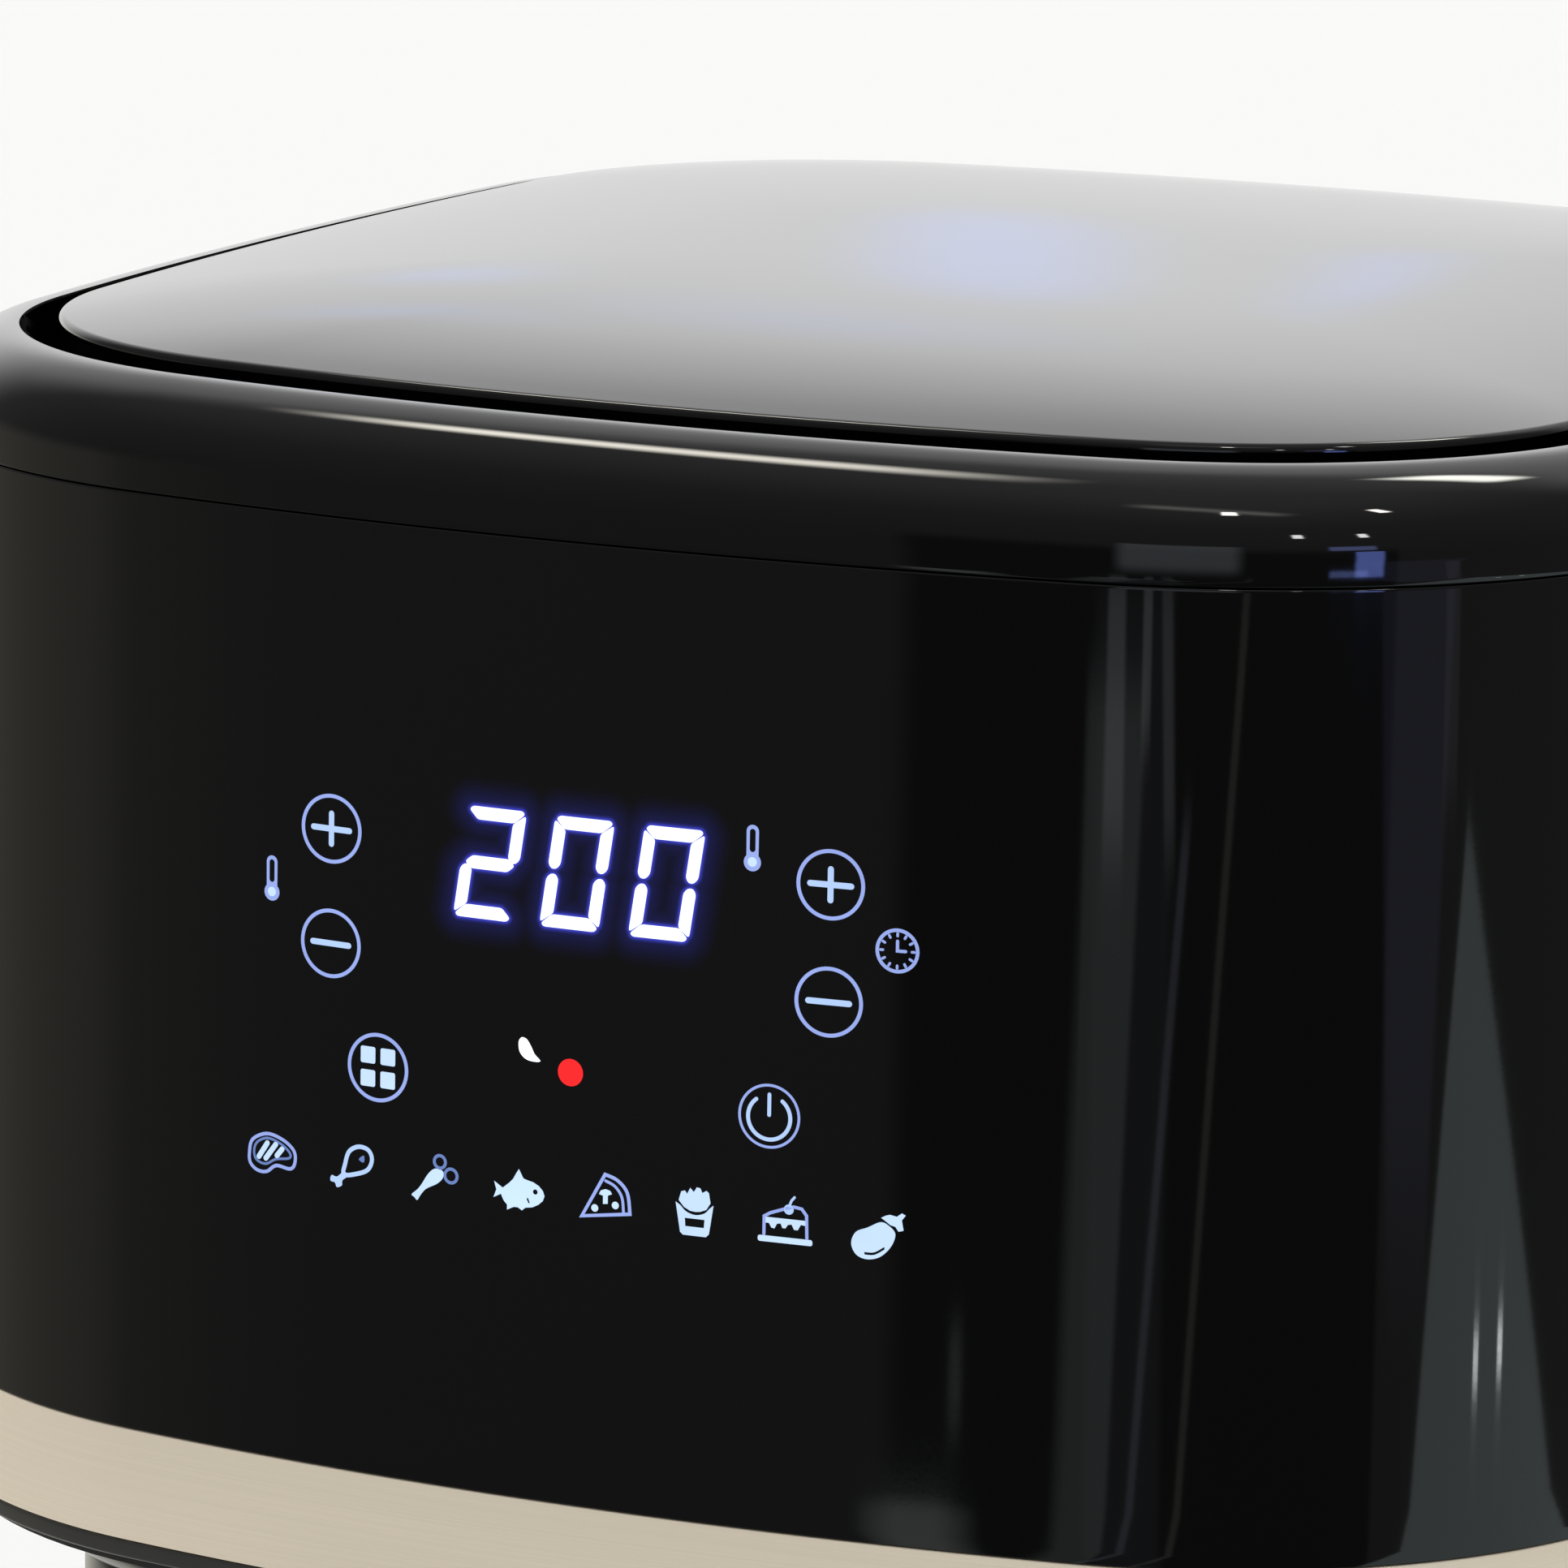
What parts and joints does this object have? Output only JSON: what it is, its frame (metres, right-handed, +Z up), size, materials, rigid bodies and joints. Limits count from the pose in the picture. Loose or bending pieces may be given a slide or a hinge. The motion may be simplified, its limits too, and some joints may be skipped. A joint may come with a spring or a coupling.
{
  "type": "air fryer",
  "caption": "Bowed rounded-square air fryer: glossy head with a domed air-inlet lid, touch panel and steel band over an inset body with a slide-out drawer, pot and crisper plate.",
  "frame": {"origin": "middle of the whole bounding box in plan, on the plane that the feet stand on", "axes": "+Z up, -Y out of the front with the handle and the touch panel, +X to the right seen from the front"},
  "size_m": [0.31, 0.36, 0.3295],
  "materials": {
    "gloss_black": "high gloss",
    "satin_black": "fine satin",
    "dark_grey": "satin",
    "foot_rubber": "matte",
    "band_steel": "brushed along its length",
    "panel_black": "mirror gloss",
    "sheet_metal": "bright sheet",
    "plated_steel": "plated",
    "screw_steel": "zinc plated",
    "non_stick": "non-stick coating",
    "heater_sheath": "oxidised sheath",
    "ceramic": "unglazed",
    "laminations": "satin",
    "copper_wire": "enamelled",
    "bearing_bronze": "sintered",
    "board_green": "solder mask",
    "component_black": "moulded",
    "diffuser_white": "translucent",
    "display_white": "lit segments",
    "spring_gold": "plated",
    "silicone": "soft",
    "wire_pvc": "smooth",
    "inlay_steel": "brushed along its length"
  },
  "bodies": {
    "housing": {"rubber_feet": "foot_rubber", "base_pan": "satin_black", "base_screws": "screw_steel", "lower_housing": "gloss_black", "lower_collar": "gloss_black", "drawer_rails": "sheet_metal", "deck_plate": "satin_black", "trim_strip": "dark_grey", "steel_band": "band_steel", "head_shell": "gloss_black", "top_ring": "gloss_black", "intake_tray": "satin_black", "panel_posts": "satin_black", "top_panel": "panel_black", "light_guide": "diffuser_white", "led_display": "display_white", "touch_springs": "spring_gold", "control_board": "board_green", "board_clips": "satin_black", "chamber_hood": "sheet_metal", "heater_coil": "heater_sheath", "heater_bushings": "ceramic", "element_guard": "plated_steel", "guard_brackets": "sheet_metal", "heat_shield": "sheet_metal", "support_posts": "screw_steel", "motor_plate": "sheet_metal", "post_screws": "screw_steel", "motor_stator": "laminations", "motor_windings": "copper_wire", "motor_bracket": "sheet_metal", "motor_bearings": "bearing_bronze", "motor_bolts": "screw_steel", "exhaust_duct": "sheet_metal", "rear_cover": "gloss_black", "rear_grille": "satin_black", "cord_inlet": "satin_black", "power_board": "board_green", "power_parts": "component_black", "thermal_cutoff": "ceramic", "temperature_sensor": "plated_steel", "safety_switch": "component_black", "wiring": "wire_pvc"},
    "fan": {"fan_shaft": "screw_steel", "motor_rotor": "laminations", "hot_fan": "sheet_metal", "cooling_fan": "sheet_metal", "fan_nut": "screw_steel"},
    "drawer": {"drawer_pot": "non_stick", "drawer_front": "gloss_black", "drawer_carrier": "satin_black", "handle": "satin_black", "handle_inlay": "inlay_steel", "handle_screws": "screw_steel"},
    "crisper": {"crisper_plate": "non_stick", "crisper_bumpers": "silicone"}
  },
  "joints": [
    {"name": "drawer_slide", "type": "slide", "parent": "housing", "child": "drawer", "axis": [0, -1, 0], "range_m": [0, 0.3]},
    {"name": "crisper_lift", "type": "slide", "parent": "drawer", "child": "crisper", "axis": [0, 0, 1], "range_m": [0, 0.1]},
    {"name": "fan_spin", "type": "hinge", "parent": "housing", "child": "fan", "pos_m": [0, 0.006, 0.24], "axis": [0, 0, 1], "continuous": true}
  ]
}
